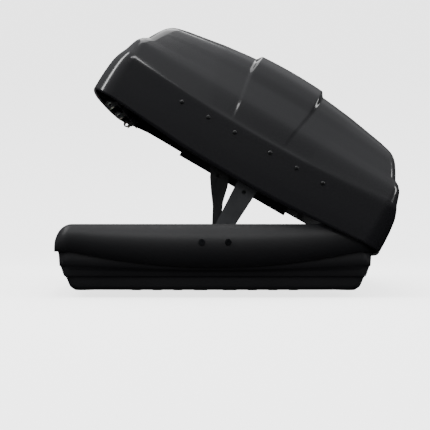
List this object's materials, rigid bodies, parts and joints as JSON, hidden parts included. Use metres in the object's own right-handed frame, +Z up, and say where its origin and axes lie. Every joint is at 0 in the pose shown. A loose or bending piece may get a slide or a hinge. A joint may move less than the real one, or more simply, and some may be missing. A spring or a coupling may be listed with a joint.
{
  "type": "roof cargo box",
  "caption": "Long hard-shell roof box for crossbars, lid hinged on either side with slide locks, folding lid lifters and clamps inside the floor.",
  "frame": {"origin": "midway between the four clamps, level with the tops of the crossbars", "axes": "+X to the right seen from the rear, +Y forwards to the nose, +Z up"},
  "size_m": [0.9348, 1.95, 0.7114],
  "materials": {
    "tray_abs": "thermoformed ABS with a fine grain, satin",
    "lid_abs": "thermoformed ABS with a high-gloss black cap layer",
    "black_steel": "pressed steel, black e-coat",
    "grey_steel": "pressed steel, dark grey coat",
    "zinc_steel": "bright zinc-plated steel",
    "aluminium": "mill-finish aluminium",
    "black_plastic": "injection-moulded black plastic",
    "acetal": "natural acetal",
    "rubber": "moulded rubber",
    "key_metal": "die-cast lock cylinder, satin chrome"
  },
  "bodies": {
    "base": {"tray": "tray_abs", "left_floor_rail": "zinc_steel", "right_floor_rail": "zinc_steel", "left_hinge_posts": "black_steel", "right_hinge_posts": "black_steel", "left_hinge_pins": "zinc_steel", "right_hinge_pins": "zinc_steel", "rear_lifter_bracket": "black_steel", "front_lifter_bracket": "black_steel", "rear_lifter_bolts": "black_steel", "front_lifter_bolts": "black_steel"},
    "hinge_cradles": {"left_cradles": "acetal"},
    "lid": {"lid_shell": "lid_abs", "lid_bows": "aluminium", "left_lid_brackets": "black_steel", "right_lid_brackets": "black_steel", "right_cradles": "acetal", "left_escutcheon": "black_plastic", "right_escutcheon": "black_plastic", "rear_lid_rail": "zinc_steel", "front_lid_rail": "zinc_steel", "lid_rivets": "black_steel"},
    "left_lock": {"left_lock_bar": "zinc_steel", "left_slide_handle": "black_plastic"},
    "right_lock": {"right_lock_bar": "zinc_steel", "right_slide_handle": "black_plastic"},
    "left_key": {"left_key_cylinder": "key_metal"},
    "right_key": {"right_key_cylinder": "key_metal"},
    "rear_arm": {"rear_lifter_arm": "grey_steel"},
    "front_arm": {"front_lifter_arm": "grey_steel"},
    "rear_link": {"rear_lifter_link": "black_steel"},
    "front_link": {"front_lifter_link": "black_steel"},
    "clamp_1": {"clamp_housing_1": "black_plastic", "clamp_pad_1": "rubber"},
    "jaw_1": {"clamp_jaw_1": "zinc_steel"},
    "knob_1": {"clamp_knob_1": "black_plastic"},
    "clamp_2": {"clamp_housing_2": "black_plastic", "clamp_pad_2": "rubber"},
    "jaw_2": {"clamp_jaw_2": "zinc_steel"},
    "knob_2": {"clamp_knob_2": "black_plastic"},
    "clamp_3": {"clamp_housing_3": "black_plastic", "clamp_pad_3": "rubber"},
    "jaw_3": {"clamp_jaw_3": "zinc_steel"},
    "knob_3": {"clamp_knob_3": "black_plastic"},
    "clamp_4": {"clamp_housing_4": "black_plastic", "clamp_pad_4": "rubber"},
    "jaw_4": {"clamp_jaw_4": "zinc_steel"},
    "knob_4": {"clamp_knob_4": "black_plastic"}
  },
  "joints": [
    {"name": "right_hinge", "type": "hinge", "parent": "base", "child": "hinge_cradles", "pos_m": [0.392, 0, 0.08], "axis": [0, 1, 0], "range_deg": [-30, 0], "stiffness_Nm_per_rad": 60, "springref_deg": 57.3},
    {"name": "left_hinge", "type": "hinge", "parent": "hinge_cradles", "child": "lid", "pos_m": [-0.28696, 0, 0.472], "axis": [0, -1, 0], "range_deg": [0, 30]},
    {"name": "left_lock_slide", "type": "slide", "parent": "lid", "child": "left_lock", "axis": [0, 1, 0], "range_m": [0, 0.03]},
    {"name": "right_lock_slide", "type": "slide", "parent": "lid", "child": "right_lock", "axis": [0, 1, 0], "range_m": [0, 0.03]},
    {"name": "left_key_turn", "type": "hinge", "parent": "left_lock", "child": "left_key", "pos_m": [-0.28775, 0.155, 0.55906], "axis": [-0.866, 0, 0.5], "range_deg": [0, 90]},
    {"name": "right_key_turn", "type": "hinge", "parent": "right_lock", "child": "right_key", "pos_m": [0.46779, 0.155, 0.12284], "axis": [0.866, 0, -0.5], "range_deg": [0, 90]},
    {"name": "rear_arm_pivot", "type": "hinge", "parent": "base", "child": "rear_arm", "pos_m": [0, -0.9485, 0.1], "axis": [0, 1, 0], "range_deg": [0, 63]},
    {"name": "front_arm_pivot", "type": "hinge", "parent": "base", "child": "front_arm", "pos_m": [0, 0.79, 0.1], "axis": [0, 1, 0], "range_deg": [0, 63]},
    {"name": "rear_link_pivot", "type": "hinge", "parent": "base", "child": "rear_link", "pos_m": [0, -0.9425, 0.1], "axis": [0, 1, 0], "range_deg": [-97, 0]},
    {"name": "front_link_pivot", "type": "hinge", "parent": "base", "child": "front_link", "pos_m": [0, 0.784, 0.1], "axis": [0, 1, 0], "range_deg": [-97, 0]},
    {"name": "clamp_slide_1", "type": "slide", "parent": "base", "child": "clamp_1", "axis": [0, 1, 0], "range_m": [-0.06, 0.06]},
    {"name": "jaw_travel_1", "type": "slide", "parent": "clamp_1", "child": "jaw_1", "axis": [0, 1, 0], "range_m": [0, 0.014]},
    {"name": "knob_turn_1", "type": "hinge", "parent": "clamp_1", "child": "knob_1", "pos_m": [-0.25, -0.301, 0.0365], "axis": [0, 1, 0], "range_deg": [0, 1261]},
    {"name": "clamp_slide_2", "type": "slide", "parent": "base", "child": "clamp_2", "axis": [0, 1, 0], "range_m": [-0.06, 0.06]},
    {"name": "jaw_travel_2", "type": "slide", "parent": "clamp_2", "child": "jaw_2", "axis": [0, 1, 0], "range_m": [0, 0.014]},
    {"name": "knob_turn_2", "type": "hinge", "parent": "clamp_2", "child": "knob_2", "pos_m": [0.25, -0.301, 0.0365], "axis": [0, 1, 0], "range_deg": [0, 1261]},
    {"name": "clamp_slide_3", "type": "slide", "parent": "base", "child": "clamp_3", "axis": [0, 1, 0], "range_m": [-0.06, 0.06]},
    {"name": "jaw_travel_3", "type": "slide", "parent": "clamp_3", "child": "jaw_3", "axis": [0, 1, 0], "range_m": [0, 0.014]},
    {"name": "knob_turn_3", "type": "hinge", "parent": "clamp_3", "child": "knob_3", "pos_m": [-0.25, 0.449, 0.0365], "axis": [0, 1, 0], "range_deg": [0, 1261]},
    {"name": "clamp_slide_4", "type": "slide", "parent": "base", "child": "clamp_4", "axis": [0, 1, 0], "range_m": [-0.06, 0.06]},
    {"name": "jaw_travel_4", "type": "slide", "parent": "clamp_4", "child": "jaw_4", "axis": [0, 1, 0], "range_m": [0, 0.014]},
    {"name": "knob_turn_4", "type": "hinge", "parent": "clamp_4", "child": "knob_4", "pos_m": [0.25, 0.449, 0.0365], "axis": [0, 1, 0], "range_deg": [0, 1261]}
  ],
  "couplings": [
    {"joint": "rear_arm_pivot", "follows": "right_hinge", "ratio": -2.1},
    {"joint": "front_arm_pivot", "follows": "right_hinge", "ratio": -2.1},
    {"joint": "rear_link_pivot", "follows": "right_hinge", "ratio": 3.2333},
    {"joint": "front_link_pivot", "follows": "right_hinge", "ratio": 3.2333},
    {"joint": "knob_turn_1", "follows": "jaw_travel_1", "rad_per_m": 1570.8},
    {"joint": "knob_turn_2", "follows": "jaw_travel_2", "rad_per_m": 1570.8},
    {"joint": "knob_turn_3", "follows": "jaw_travel_3", "rad_per_m": 1570.8},
    {"joint": "knob_turn_4", "follows": "jaw_travel_4", "rad_per_m": 1570.8}
  ]
}
